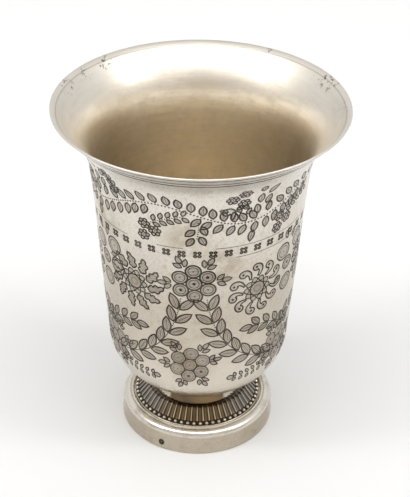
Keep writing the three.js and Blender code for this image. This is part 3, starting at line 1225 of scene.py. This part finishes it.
        # These stains mix real rings and blots with the painted shade of the side walls and a slight
        # darkening of the back wall.
        stains = rings * 0.12 + blots * (0.06 + 0.16 * depth) + back * 0.06 + shadowed
        inside = shader.mix(stains, inside, self.stain)
        above = rise.between(rim - 0.00105, rim - 0.00095)
        scribed = rise.between(rim - 0.00135, rim - 0.00125) * (1.0 - above)
        inside = shader.mix(scribed * 0.4, inside, self.stain)
        places = sum(shader.near(spot, 0.0, reach) for *spot, reach in worn)
        specks = shader.noise(560.0, 3.0, 0.75).between(0.55, 0.61)
        specks = specks * rise.between(rim - 0.0042, rim - 0.0018)
        inside = shader.mix((specks * places).at_most(0.9), inside, self.tarnish)
        colour = shader.mix(inner, colour, inside)
        roughness = roughness + tone * 0.1 + line * 0.25 + inner * (0.04 + 0.06 * rings + 0.1 * blots)
        height = height - tone * hatch * 3.0 + inner * rings * 2.0
        return shader.metal(colour, roughness, height, 6e-6, 1.0 - line * 0.5)

    def struck(self, name: str) -> bpy.types.Material:
        """The finish of struck relief: brown tarnish in the hollows, with painted shade on the flange and
        painted reflections in the flutes and in front, and bright crests.

        Args:
            name: the material's name.

        Returns:
            The material.
        """
        shader = Shader(name)
        colour, roughness, height = self.surface(shader)
        hollow = shader.attribute("hollow")
        uneven = shader.noise(220.0, 3.0, 0.6)
        level = hollow + (uneven - 0.5) * 0.25
        # Painted reflection: the hollows' tarnish is golden brown at the front and grey at the back and
        # sides.
        front = shader.near((0.0, -0.022, 0.009), 0.008, 0.019)
        brown = shader.mix(front, self.hollow_back, self.hollow_tarnish_painted_reflection)
        colour = shader.mix(0.75, colour, self.deep)
        colour = shader.mix(level.between(0.05, 0.3), colour, brown)
        colour = shader.mix(level.between(0.42, 0.92), colour, self.tarnish)
        roughness = roughness + level.between(0.3, 1.0) * 0.12
        return shader.metal(colour, roughness, height, 5e-6, 1.0 - level.between(0.7, 1.0) * 0.3)


def mesh_from(bm: bmesh.types.BMesh, name: str, sharp: float | None = None) -> bpy.types.Mesh:
    """Turns a finished surface into a mesh.

    Args:
        bm: the surface, which is freed.
        name: the mesh's name.
        sharp: smooths the faces, but not edges at or above this angle in degrees.

    Returns:
        The mesh.
    """
    mesh = bpy.data.meshes.new(name)
    if sharp is not None:
        for face in bm.faces:
            face.smooth = True
    bm.to_mesh(mesh)
    bm.free()
    if sharp is not None:
        mesh.set_sharp_from_angle(angle=math.radians(sharp))
    return mesh


def added(name: str, data: bpy.types.ID) -> bpy.types.Object:
    """Adds a new object with its data to the scene.

    Args:
        name: its name.
        data: its mesh, lamp or camera data.

    Returns:
        The object.
    """
    thing = bpy.data.objects.new(name, data)
    bpy.context.scene.collection.objects.link(thing)
    return thing


def place_from(radius: float, turn: float, height: float) -> Triple:
    """A place in metres from millimetres and a turn in degrees from the front."""
    angle = math.radians(turn)
    return radius * MM * math.sin(angle), -radius * MM * math.cos(angle), height * MM


def around(profile: np.ndarray, angle: np.ndarray) -> np.ndarray:
    """Radii and heights, in two columns, each turned to its angle in radians from the front."""
    return np.column_stack([profile[:, 0] * np.sin(angle), -profile[:, 0] * np.cos(angle), profile[:, 1]])


def values_of(items: Sequence, name: str, width: int = 1, kind: type = float) -> np.ndarray:
    """One property of every item, in rows where it has a width.

    Args:
        items: the items.
        name: the property.
        width: how many numbers it has.
        kind: the type of its numbers.

    Returns:
        The numbers.
    """
    found = np.empty(len(items) * width, dtype=kind)
    items.foreach_get(name, found)
    return found.reshape(-1, width) if width > 1 else found


def piece_from(
        name: str, mesh: bpy.types.Mesh, material: bpy.types.Material, node: str) -> bpy.types.Object:
    """Makes a finished mesh a piece of the beaker.

    Args:
        name: the piece's name.
        mesh: its mesh in metres.
        material: its finish.
        node: the node of the frame that it stands for.

    Returns:
        The new object.
    """
    mesh.materials.append(material)
    piece = added(name, mesh)
    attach(piece, "root")
    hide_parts(node)
    LOG.info("%s: %d triangles", name, sum(len(face.vertices) - 2 for face in mesh.polygons))
    return piece


def spun(bm: bmesh.types.BMesh, profile: Sequence[Pair], steps: int, closed: bool = False) -> None:
    """Turns a profile once around the axis and lets its faces look outwards if it is closed.

    Args:
        bm: the mesh that gets the surface.
        profile: radii and heights in millimetres.
        steps: how many steps once around.
        closed: joins the profile's end to its start.
    """
    verts = [bm.verts.new((0.0, -radius * MM, height * MM)) for radius, height in profile]
    pairs = list(zip(verts, verts[1:])) + ([(verts[-1], verts[0])] if closed else [])
    edges = [bm.edges.new(pair) for pair in pairs]
    bmesh.ops.spin(
        bm, geom=verts + edges, cent=(0, 0, 0), axis=(0, 0, 1), angle=2 * math.pi, steps=steps,
        use_merge=True, use_duplicate=False)
    if closed:
        bmesh.ops.recalc_face_normals(bm, faces=bm.faces)


@dataclass
class EngravedBowl:
    """The raised bowl: engraved outside, a rounded lip, a plain inside and a flat underside."""

    shape: BowlShape
    ornament: Ornament
    finish: Silver
    steps: int = 96
    lip_lines: tuple[Pair, ...] = ((1.2, 0.7), (4.2, 0.8), (6.3, 0.95))
    lip_line_depth: float = 0.17
    pitted_inset: Pair = (2.2, 2.4)
    wall_tolerance: float = 0.05
    pitted_lip: tuple[Pair, ...] = (
        (-134.0, 5.5), (-121.0, 4.5), (-108.0, 5.5), (150.0, 4.5), (116.0, 8.5), (92.0, 4.5))
    stains: tuple[Pair, ...] = (
        (-7.0, 79.0), (13.0, 69.5), (-58.0, 77.0), (-6.0, 30.0), (95.0, 60.0), (160.0, 80.0), (-120.0, 44.0))

    def build(self) -> bpy.types.Object:
        """Builds and dresses the bowl.

        Returns:
            The piece.
        """
        shape, ornament = self.shape, self.ornament
        marks = ornament.draw()
        sheet = WallSheet(ornament.girth, shape.seat, shape.edge, self.steps)
        sheet.add_grid()
        for drop, width in self.lip_lines:
            across = np.linspace(-ornament.girth / 2, ornament.girth / 2, sheet.columns + 1)
            path = np.column_stack([across, np.full(len(across), shape.edge - drop)])
            marks.append(Mark(path, closed=False, width=width, depth=self.lip_line_depth))
        engraver = Engraver(marks, sheet)
        places, faces = sheet.triangles()
        bm = self.shell_bmesh()
        LOG.info("bowl: %d marks, %d plain faces", len(marks), len(bm.faces))
        self.add_wall(bm, engraver, places, faces)
        bmesh.ops.delete(bm, geom=[v for v in bm.verts if not v.link_faces], context="VERTS")
        bmesh.ops.remove_doubles(bm, verts=[v for v in bm.verts if v.is_boundary], dist=2e-6)
        for face in bm.faces:
            face.smooth = True
        mesh = mesh_from(bm, "engraved_bowl")
        self.set_normals(mesh)
        inwards, below = self.pitted_inset
        radius, height = shape.rim_radius - inwards, shape.rim_height - below
        worn = [(*place_from(radius, turn, height), reach * MM) for turn, reach in self.pitted_lip]
        stained = []
        for turn, along in self.stains:
            radius, height = shape.at(np.array([along]))[0][0].tolist()
            stained.append(place_from(radius, turn, height))
        finish = self.finish.engraved("engraved silver", shape.rim_height * MM, worn, stained)
        return piece_from("engraved_bowl", mesh, finish, "bowl")

    def add_wall(
            self, bm: bmesh.types.BMesh, engraver: Engraver, places: np.ndarray, faces: np.ndarray) -> None:
        """Adds the engraved outside, with the depth of its cuts and its hatching as attributes.

        Args:
            bm: the rest of the bowl, which is marked as inner.
            engraver: the engraver of the wall.
            places: corners on the unrolled wall.
            faces: the triangles' corner numbers.
        """
        depth = engraver.depth_at(places)
        tone, _ = engraver.hatching_at(places)
        _, grain = engraver.hatching_at(places[faces].mean(axis=1))
        spots, normals = self.shape.at(places[:, 1])
        angle = places[:, 0] / self.ornament.reference_radius
        solid = around(spots, angle) - around(normals, angle) * depth[:, None]
        inner, cut, shade = (bm.verts.layers.float.new(name) for name in ("inner", "cut", "tone"))
        unrolled = bm.loops.layers.uv.new("unrolled")
        for vert in bm.verts:
            vert[inner] = 1.0
        verts = []
        for place, share, dark in zip(
                (solid * MM).tolist(), (depth / engraver.full_depth).tolist(), tone.tolist()):
            vert = bm.verts.new(place)
            vert[cut], vert[shade] = share, dark
            verts.append(vert)
        flat = places * MM
        for corners, turn in zip(faces.tolist(), grain.tolist()):
            face = bm.faces.new([verts[k] for k in corners])
            ahead, aside = math.cos(turn), math.sin(turn)
            for loop, corner in zip(face.loops, corners):
                x, y = flat[corner]
                loop[unrolled].uv = (x * ahead + y * aside, y * ahead - x * aside)

    def shell_bmesh(self) -> bmesh.types.BMesh:
        """The lip's edge, the inside and the underside, spun about the axis.

        Returns:
            The surface, facing outwards.
        """
        shape = self.shape
        bm = bmesh.new()
        along = np.linspace(shape.edge, shape.seat + 5.0, 44)
        spots, normals = shape.at(along)
        inside = spots - normals * shape.wall
        floor = shape.seat_height + shape.wall
        rim_radius, rim_height = shape.rim_radius, shape.rim_height
        inside = inside[(inside[:, 1] < rim_height - 0.5) & (inside[:, 1] > floor + 1.5)]
        edge = (rim_radius, rim_height - shape.lip_drop)
        roll = [(rim_radius - 0.12, rim_height - 0.12), (rim_radius - 0.4, rim_height)]
        low = inside[-1]
        corner = bezier([tuple(low), (low[0] - 1.6, floor), (low[0] - 4.6, floor)], 5)[1:]
        profile = [edge, *roll, *map(tuple, inside), *map(tuple, corner), (0.0, floor)]
        seat_radius = float(shape.at(np.array([shape.seat]))[0][0, 0])
        spun(bm, profile, self.steps)
        spun(bm, [(0.0, shape.seat_height), (seat_radius, shape.seat_height)], self.steps)
        bmesh.ops.remove_doubles(bm, verts=bm.verts, dist=2e-6)
        bmesh.ops.recalc_face_normals(bm, faces=bm.faces)
        return bm

    def set_normals(self, mesh: bpy.types.Mesh) -> None:
        """Gives the uncut wall the profile's own normals, and each side of a cut its flat one.

        Args:
            mesh: the bowl's mesh.
        """
        corner = values_of(mesh.loops, "vertex_index", kind=np.int32)
        places = values_of(mesh.vertices, "co", 3)
        cut = values_of(mesh.attributes["cut"].data, "value")
        smooth = values_of(mesh.corner_normals, "vector", 3, np.float32)
        starts = values_of(mesh.polygons, "loop_start", kind=np.int32)
        totals = values_of(mesh.polygons, "loop_total", kind=np.int32)
        flat = values_of(mesh.polygons, "normal", 3, np.float32)
        owner = np.repeat(np.arange(len(starts)), totals)
        deepest = np.maximum.reduceat(cut[corner], starts)
        radius = np.hypot(places[:, 0], places[:, 1]) / MM
        height = places[:, 2] / MM
        along = np.interp(height, self.shape.line[:, 1], self.shape.length)
        spots, normals = self.shape.at(along)
        outside = np.abs(radius - spots[:, 0]) < self.wall_tolerance
        outside &= height > self.shape.seat_height - 0.01
        outward = normals[:, :1] * places[:, :2] / np.maximum(radius * MM, 1e-9)[:, None]
        outward = np.column_stack([outward, normals[:, 1]])
        wall_face = np.logical_and.reduceat(outside[corner], starts) & (totals == 3)
        on_wall = wall_face[owner] & (deepest[owner] <= 0)
        smooth[on_wall] = outward[corner[on_wall]]
        in_cut = deepest[owner] > 0
        smooth[in_cut] = flat[owner[in_cut]]
        mesh.normals_split_custom_set(smooth.tolist())


@dataclass
class Collar:
    """The plain soldered ring between the bowl and the foot."""

    finish: Silver
    steps: int = 96
    edge: float = 0.18
    thickness: float = 1.3
    # share of the radius beyond which, in front and behind, the collar has its painted brown reflection
    painted_reflection_from: float = 0.79

    def build(self) -> bpy.types.Object:
        """Builds and dresses the collar inside its node's box.

        Returns:
            The piece.
        """
        low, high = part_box("collar")
        radius, bottom, top, edge = high.x / MM, low.z / MM, high.z / MM, self.edge
        inner = radius - self.thickness
        profile = [
            (inner, bottom), (radius, bottom), (radius, bottom + edge), (radius - edge, bottom + 2.5 * edge),
            (radius - 0.3, (bottom + top) / 2), (radius - edge, top - edge), (radius - edge / 2, top),
            (inner, top),
        ]
        bm = bmesh.new()
        spun(bm, profile, self.steps, closed=True)
        # The collar's brown front and back is a painted reflection.
        finish = self.finish.painted_reflection_finish("collar silver", radius * self.painted_reflection_from * MM)
        mesh = mesh_from(bm, "collar_ring", 40.0)
        return piece_from("collar_ring", mesh, finish, "collar")


@dataclass
class StruckFrieze:
    """The pedestal dome with its flutes, the thin crests between them and its row of beads."""

    finish: Silver
    count: int = 61
    front_turn: float = 0.7
    samples: int = 14
    outer_radius: float = 20.8
    top_radius: float = 16.8
    top_height: float = 12.7
    outer_height: float = 7.9
    seat_height: float = 7.0
    bore: float = 13.6
    thickness: float = 1.0
    flute_start: float = 15.2
    flute_depth: float = 0.42
    bead_ring: float = 20.15
    bead_radius: float = 0.56
    rows: int = 30

    def relief(self, share: float, radius: float) -> Pair:
        """Height and tarnish of the struck relief, with a painted reflection that darkens each flute towards
        its walls.

        Args:
            share: place across one flute, from -0.5 to 0.5.
            radius: distance from the axis, in millimetres.

        Returns:
            Height above the dome's face in millimetres, negative in a hollow, and tarnish, darker towards the
            flute walls as a painted reflection, from 0 to 1.
        """
        across = share * 2 * math.pi * radius / self.count
        down = (radius - self.bead_ring) * math.hypot(1.0, self.slope)
        bead = self.bead_radius**2 - across**2 - down**2
        if bead > 0:
            return math.sqrt(bead) - 0.15, max(0.0, 0.25 - 1.2 * math.sqrt(bead))
        start, end = self.flute_start, self.bead_ring - 0.5
        along = (radius - start) / (end - start)
        if along >= 1:
            return (-0.25, 1.0) if radius < self.bead_ring + 0.5 else (0.0, 0.15)
        fade = min(1.0, along * 4)
        half = 0.4 - 0.04 * along
        inside = abs(share) / half
        if inside < 1:
            # Painted reflection: each flute's tarnish is lighter in its middle and darker towards its walls.
            dark = 0.56 + 0.36 * inside**2
            return -self.flute_depth * math.sqrt(1 - inside**2) * fade, 0.5 + (dark - 0.5) * fade
        crest = 1 - abs(abs(share) - 0.5) / (0.5 - half)
        return 0.1 * crest * fade, 0.5 * (1 - fade) + 0.4 * (1 - crest) * fade

    @property
    def slope(self) -> float:
        """Fall of the dome's face for each millimetre of radius."""
        return (self.top_height - self.outer_height) / (self.outer_radius - self.top_radius)

    def build(self) -> bpy.types.Object:
        """Builds and dresses the dome.

        Returns:
            The piece.
        """
        outer, top, slope = self.outer_radius, self.top_height, self.slope
        under = top - self.thickness
        radii = np.linspace(self.top_radius, outer, self.rows)
        face = [(radius, top - (radius - self.top_radius) * slope) for radius in radii]
        flat = [(radius, top) for radius in np.linspace(self.flute_start, self.top_radius, 6)[:-1]]
        profile = [(self.bore, under), (self.bore, top), *flat, *face, (outer, self.seat_height),
                   (outer - self.thickness * 1.4, self.seat_height), (self.top_radius - 0.5, under)]
        bm = bmesh.new()
        spun(bm, profile, self.count * self.samples, closed=True)
        hollow = bm.verts.layers.float.new("hollow")
        straight, slanted = Vector((0.0, 0.0, 1.0)), Vector((slope, 0.0, 1.0)).normalized()
        for vert in bm.verts:
            radius = math.hypot(vert.co.x, vert.co.y) / MM
            beyond = radius - self.top_radius
            if abs(vert.co.z / MM - top + max(0.0, beyond) * slope) > 0.01 or radius > outer - 0.05:
                continue
            # Painted shade with tarnish: the flat top around the collar, inside the flutes, keeps this
            # half-dark brown for the shade in the recess under the bowl.
            vert[hollow] = 0.5
            if radius < self.flute_start + 0.05:
                continue
            angle = math.atan2(vert.co.x, -vert.co.y) - math.radians(self.front_turn)
            turn = angle / (2 * math.pi) * self.count - 0.5
            rise, vert[hollow] = self.relief(turn - round(turn), radius)
            outwards = Vector((vert.co.x, vert.co.y, 0)).normalized()
            normal = straight.lerp(slanted, min(1.0, max(0.0, 0.5 + beyond * 10)))
            vert.co += (outwards * normal.x + Vector((0, 0, normal.z))) * rise * MM
        mesh, finish = mesh_from(bm, "struck_frieze", 60.0), self.finish.struck("struck silver")
        return piece_from("struck_frieze", mesh, finish, "foot_frieze")


@dataclass
class BaseBand:
    """The moulded band that the beaker stands on, with one small pit near its foot."""

    finish: Silver
    steps: int = 128
    pit_angle: float = -27.2
    pit_height: float = 2.45
    pit_radius: float = 1.2

    def build(self) -> bpy.types.Object:
        """Builds and dresses the band inside its node's box.

        Returns:
            The piece.
        """
        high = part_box("foot_ring")[1]
        radius, top = high.x / MM, high.z / MM
        shoulder = bezier([(radius - 0.16, 5.9), (radius - 0.2, top - 0.42), (22.6, top - 0.25)], 12)
        lip = [(22.3, top - 0.62), (22.1, top - 0.16), (21.75, top), (21.4, top - 0.12), (21.15, top - 0.45)]
        ledge, floor, inner = 7.0, 5.8, radius - 1.2
        profile = [
            (inner, 0.0), (radius - 0.2, 0.0), (radius, 0.2), (radius, 0.9), (radius - 0.25, 2.4),
            (radius - 0.35, 4.0), (radius - 0.3, 5.2), (radius - 0.34, 5.7), *map(tuple, shoulder), *lip,
            (21.1, ledge), (19.5, ledge), (19.5, floor), (22.6, floor), (inner, 4.8),
        ]
        bm = bmesh.new()
        spun(bm, profile, self.steps, closed=True)
        pit = place_from(radius, self.pit_angle, self.pit_height)
        finish = self.finish.pitted("band silver", pit, self.pit_radius * MM, (top - 1.2) * MM)
        mesh = mesh_from(bm, "base_band", 38.0)
        return piece_from("base_band", mesh, finish, "foot_ring")


@dataclass
class Studio:
    """A pale floor, a soft white tent of light and the camera at the photo's angle."""

    camera_place: Triple = (0.00185, -0.3845, 0.3136)
    pitch: float = 33.03
    roll: float = 0.95
    lens: float = 105.0
    world_strength: float = 0.92
    floor_colour: Triple = (0.845, 0.845, 0.84)
    target: Triple = (0.0, 0.0, 0.06)
    tent: tuple[tuple[float, Triple], ...] = (
        (0.0, (0.60, 0.59, 0.58)), (0.3, (0.74, 0.74, 0.74)), (0.7, (0.9, 0.9, 0.9)))

    def set_camera(self) -> None:
        """Puts the camera where the photo was taken from."""
        data = bpy.data.cameras.new("camera")
        data.lens = self.lens
        data.sensor_width = 36.0
        data.clip_start = 0.01
        camera = added("camera", data)
        pitch, roll = math.radians(90 - self.pitch), math.radians(self.roll)
        turn = Matrix.Rotation(pitch, 4, "X") @ Matrix.Rotation(roll, 4, "Z")
        camera.matrix_world = Matrix.Translation(self.camera_place) @ turn
        bpy.context.scene.camera = camera

    def set_world(self) -> None:
        """A white surround, brighter overhead than at the horizon."""
        world = bpy.data.worlds.new("tent")
        world.use_nodes = True
        nodes, links = world.node_tree.nodes, world.node_tree.links
        place = nodes.new("ShaderNodeTexCoord")
        parts = nodes.new("ShaderNodeSeparateXYZ")
        ramp = nodes.new("ShaderNodeValToRGB")
        stops = ramp.color_ramp.elements
        stops.new(1.0)
        for stop, (position, colour) in zip(stops, self.tent):
            stop.position, stop.color = position, (*colour, 1.0)
        links.new(place.outputs["Generated"], parts.inputs[0])
        links.new(parts.outputs["Z"], ramp.inputs[0])
        links.new(ramp.outputs[0], nodes["Background"].inputs["Color"])
        nodes["Background"].inputs["Strength"].default_value = self.world_strength
        bpy.context.scene.world = world

    def add_light(
            self, name: str, place: Triple, size: Pair, strength: float, colour: Triple) -> None:
        """A soft light panel that faces the beaker.

        Args:
            name: its name.
            place: where it stands, in metres.
            size: its width and height in metres.
            strength: its power in watts.
            colour: its colour.
        """
        data = bpy.data.lights.new(name, "AREA")
        data.shape = "RECTANGLE"
        data.size, data.size_y = size
        data.energy = strength
        data.color = colour
        self.aim(added(name, data), place)

    def aim(self, thing: bpy.types.Object, place: Triple) -> None:
        """Puts something at a place and turns it to face the beaker."""
        thing.location = place
        thing.rotation_euler = (Vector(self.target) - Vector(place)).to_track_quat("-Z", "Y").to_euler()

    def staged(
            self, name: str, bm: bmesh.types.BMesh, material: bpy.types.Material,
            place: Triple | None = None) -> None:
        """Adds a surface that belongs to the stage, facing the beaker from a place if it has one.

        Args:
            name: its name.
            bm: the surface.
            material: its material.
            place: where it stands, if it isn't the origin.
        """
        mesh = mesh_from(bm, name)
        mesh.materials.append(material)
        thing = added(name, mesh)
        if place is not None:
            self.aim(thing, place)

    def add_card(self, name: str, place: Triple, size: Pair, colour: Triple) -> None:
        """A plain card that faces the beaker and is only there to be mirrored in it.

        Args:
            name: its name.
            place: where it stands, in metres.
            size: its width and height in metres.
            colour: its colour.
        """
        bm = bmesh.new()
        bmesh.ops.create_grid(bm, x_segments=1, y_segments=1, size=0.5)
        bmesh.ops.scale(bm, vec=(*size, 1.0), verts=bm.verts)
        self.staged(name, bm, Shader(name).finish(Base_Color=colour, Roughness=1.0), place)

    def add_floor(self) -> None:
        """The pale floor."""
        bm = bmesh.new()
        bmesh.ops.create_circle(bm, cap_ends=True, segments=64, radius=3.0)
        shader = Shader("pale paper")
        colour = shader.mix(shader.noise(900.0, 2.0, 0.5) * 0.05, self.floor_colour, (0.7, 0.7, 0.7))
        self.staged("floor", bm, shader.finish(Base_Color=colour, Roughness=0.9))

    def build(self) -> None:
        """Sets up everything that isn't the beaker."""
        self.set_world()
        self.add_floor()
        for name, x in (("left lamp", -0.82), ("right lamp", 0.82)):
            self.add_light(name, (x, -0.24, 1.02), (0.22, 0.15), 2.4, (1.0, 0.99, 0.97))
        self.add_light("overhead panel", (0.0, -0.4, 1.25), (1.3, 0.6), 8.0, (0.98, 0.99, 1.0))
        self.add_card("behind the camera", (0.0, -0.62, 0.36), (0.36, 0.34), (0.64, 0.57, 0.49))
        self.add_card("above the camera", (0.0, -0.66, 0.66), (1.9, 0.62), (0.66, 0.62, 0.605))
        for name, x in (("left of the camera", -0.75), ("right of the camera", 0.75)):
            self.add_card(name, (x, -0.45, 0.16), (0.3, 0.3), (0.35, 0.34, 0.33))
        bpy.context.scene.view_settings.view_transform = "Standard"


def main() -> None:
    """Builds the camera, the beaker's pieces and the studio in order."""
    logging.basicConfig(level=logging.INFO, format="%(message)s")
    studio = Studio()
    studio.set_camera()
    low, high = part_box("bowl")
    shape = BowlShape(rim_radius=high.x / MM, rim_height=high.z / MM, seat_height=low.z / MM)
    silver = Silver()
    EngravedBowl(shape, Ornament(), silver).build()
    Collar(replace(silver, roughness=0.16)).build()
    StruckFrieze(silver).build()
    BaseBand(replace(silver, roughness=0.17)).build()
    studio.build()


if __name__ == "__main__":
    main()
